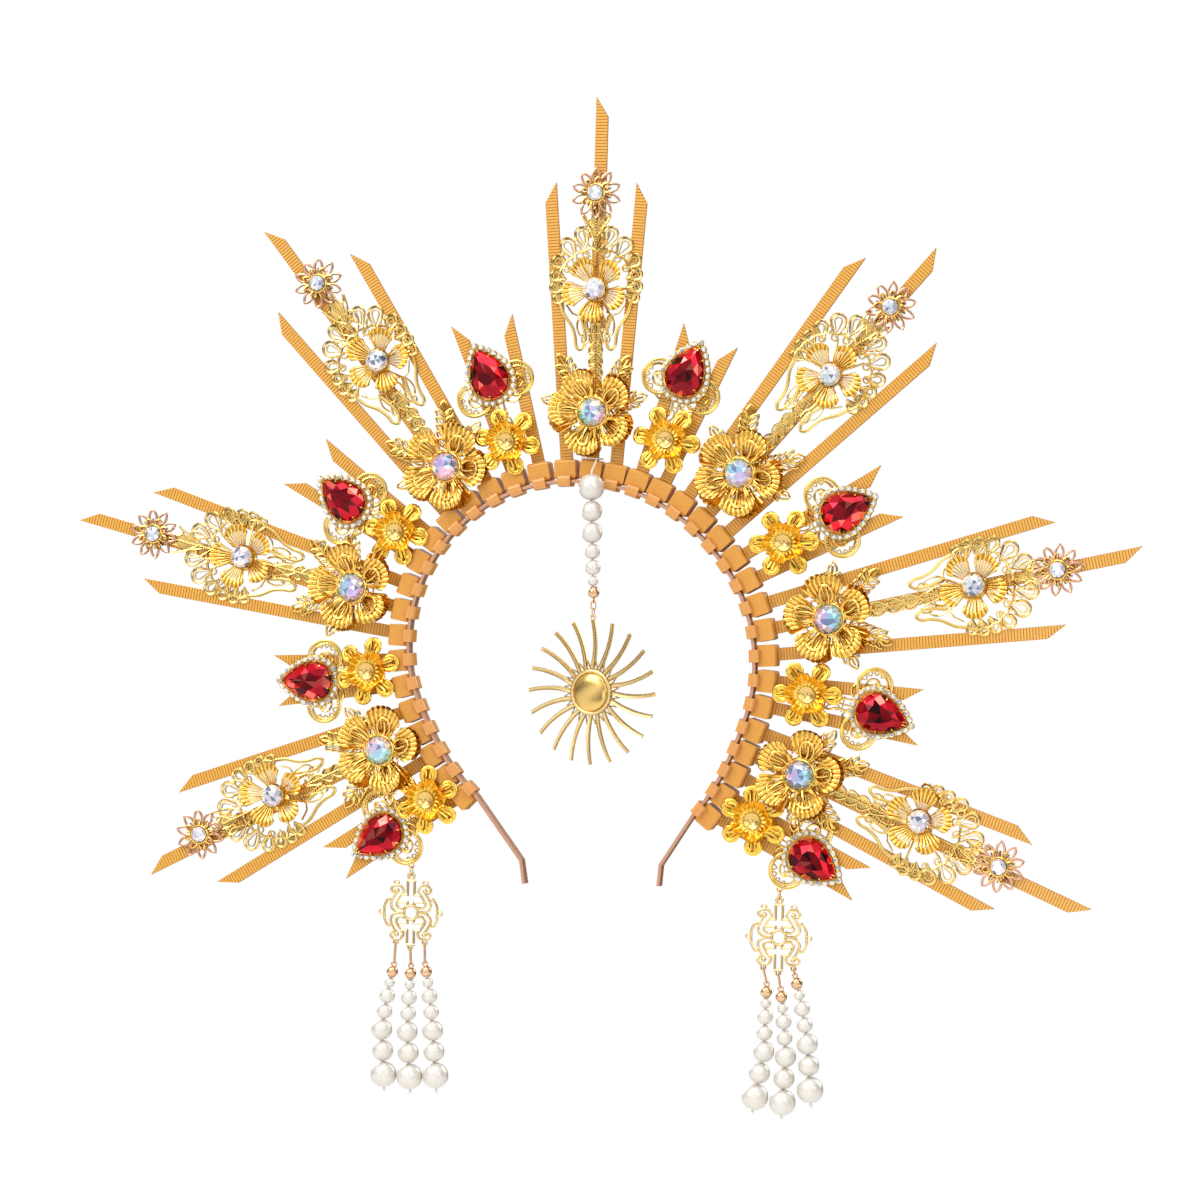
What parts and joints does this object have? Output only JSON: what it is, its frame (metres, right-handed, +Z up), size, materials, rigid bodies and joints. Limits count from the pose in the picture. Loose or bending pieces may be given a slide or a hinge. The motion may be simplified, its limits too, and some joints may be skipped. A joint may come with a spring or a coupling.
{
  "type": "halo crown",
  "caption": "Halo crown: strap ties fan out from a curved headband with pierced gold flowers, crystals and red pear stones; a sun and pearl strings hang from it.",
  "frame": {"origin": "top of the head opening: the inner face of the middle tie's loop, where the headband sits on the head", "axes": "+Z up out of the head, along the middle ray; -Y the front, which the stones face; +X to the right of a viewer in front"},
  "size_m": [0.4175, 0.0241, 0.3864],
  "materials": {
    "band": "satin",
    "strap": "satin metallic orange-gold",
    "gold": "polished",
    "rose_gold": "polished",
    "crystal": "faceted, iridescent coat",
    "red_stone": "faceted, foil-backed",
    "pearl": "pearl lustre",
    "thread": "clear-white nylon thread"
  },
  "bodies": {
    "crown": {"headband": "band", "middle_ties": "strap", "side_ties": "strap", "short_ties": "strap", "ray_panel_1": "gold", "ray_panel_2": "gold", "ray_panel_3": "gold", "ray_panel_4": "gold", "ray_panel_5": "gold", "ray_panel_6": "gold", "ray_panel_7": "gold", "rose_1": "gold", "rose_2": "gold", "rose_3": "gold", "rose_4": "gold", "rose_5": "gold", "rose_6": "gold", "rose_7": "gold", "ray_blossoms": "gold", "tip_stars": "rose_gold", "rose_crystals": "crystal", "blossom_crystals": "crystal", "star_crystals": "crystal", "pear_setting_1": "gold", "pear_setting_2": "gold", "pear_setting_3": "gold", "pear_setting_4": "gold", "pear_setting_5": "gold", "pear_setting_6": "gold", "pear_setting_7": "gold", "pear_setting_8": "gold", "red_stone_1": "red_stone", "red_stone_2": "red_stone", "red_stone_3": "red_stone", "red_stone_4": "red_stone", "red_stone_5": "red_stone", "red_stone_6": "red_stone", "red_stone_7": "red_stone", "red_stone_8": "red_stone", "daisy_1": "gold", "daisy_2": "gold", "daisy_3": "gold", "daisy_4": "gold", "daisy_5": "gold", "daisy_6": "gold", "daisy_7": "gold", "daisy_8": "gold", "drop_thread": "thread", "drop_pearls": "pearl", "drop_chain": "gold"},
    "sun": {"sun_pendant": "gold"},
    "left_drop": {"left_connector": "gold", "left_threads": "thread", "left_pearls": "pearl", "left_findings": "gold"},
    "right_drop": {"right_connector": "gold", "right_threads": "thread", "right_pearls": "pearl", "right_findings": "gold"}
  },
  "joints": [
    {"name": "sun_swing", "type": "hinge", "parent": "crown", "child": "sun", "pos_m": [0.0044, -0.0119, -0.0484], "axis": [0.9659, -0.2588, 0], "range_deg": [-60, 60]},
    {"name": "left_drop_swing", "type": "hinge", "parent": "crown", "child": "left_drop", "pos_m": [-0.06886, -0.00055, -0.14746], "axis": [1, 0, 0], "range_deg": [-60, 60]},
    {"name": "right_drop_swing", "type": "hinge", "parent": "crown", "child": "right_drop", "pos_m": [0.07576, -0.00055, -0.15159], "axis": [1, 0, 0], "range_deg": [-60, 60]}
  ]
}
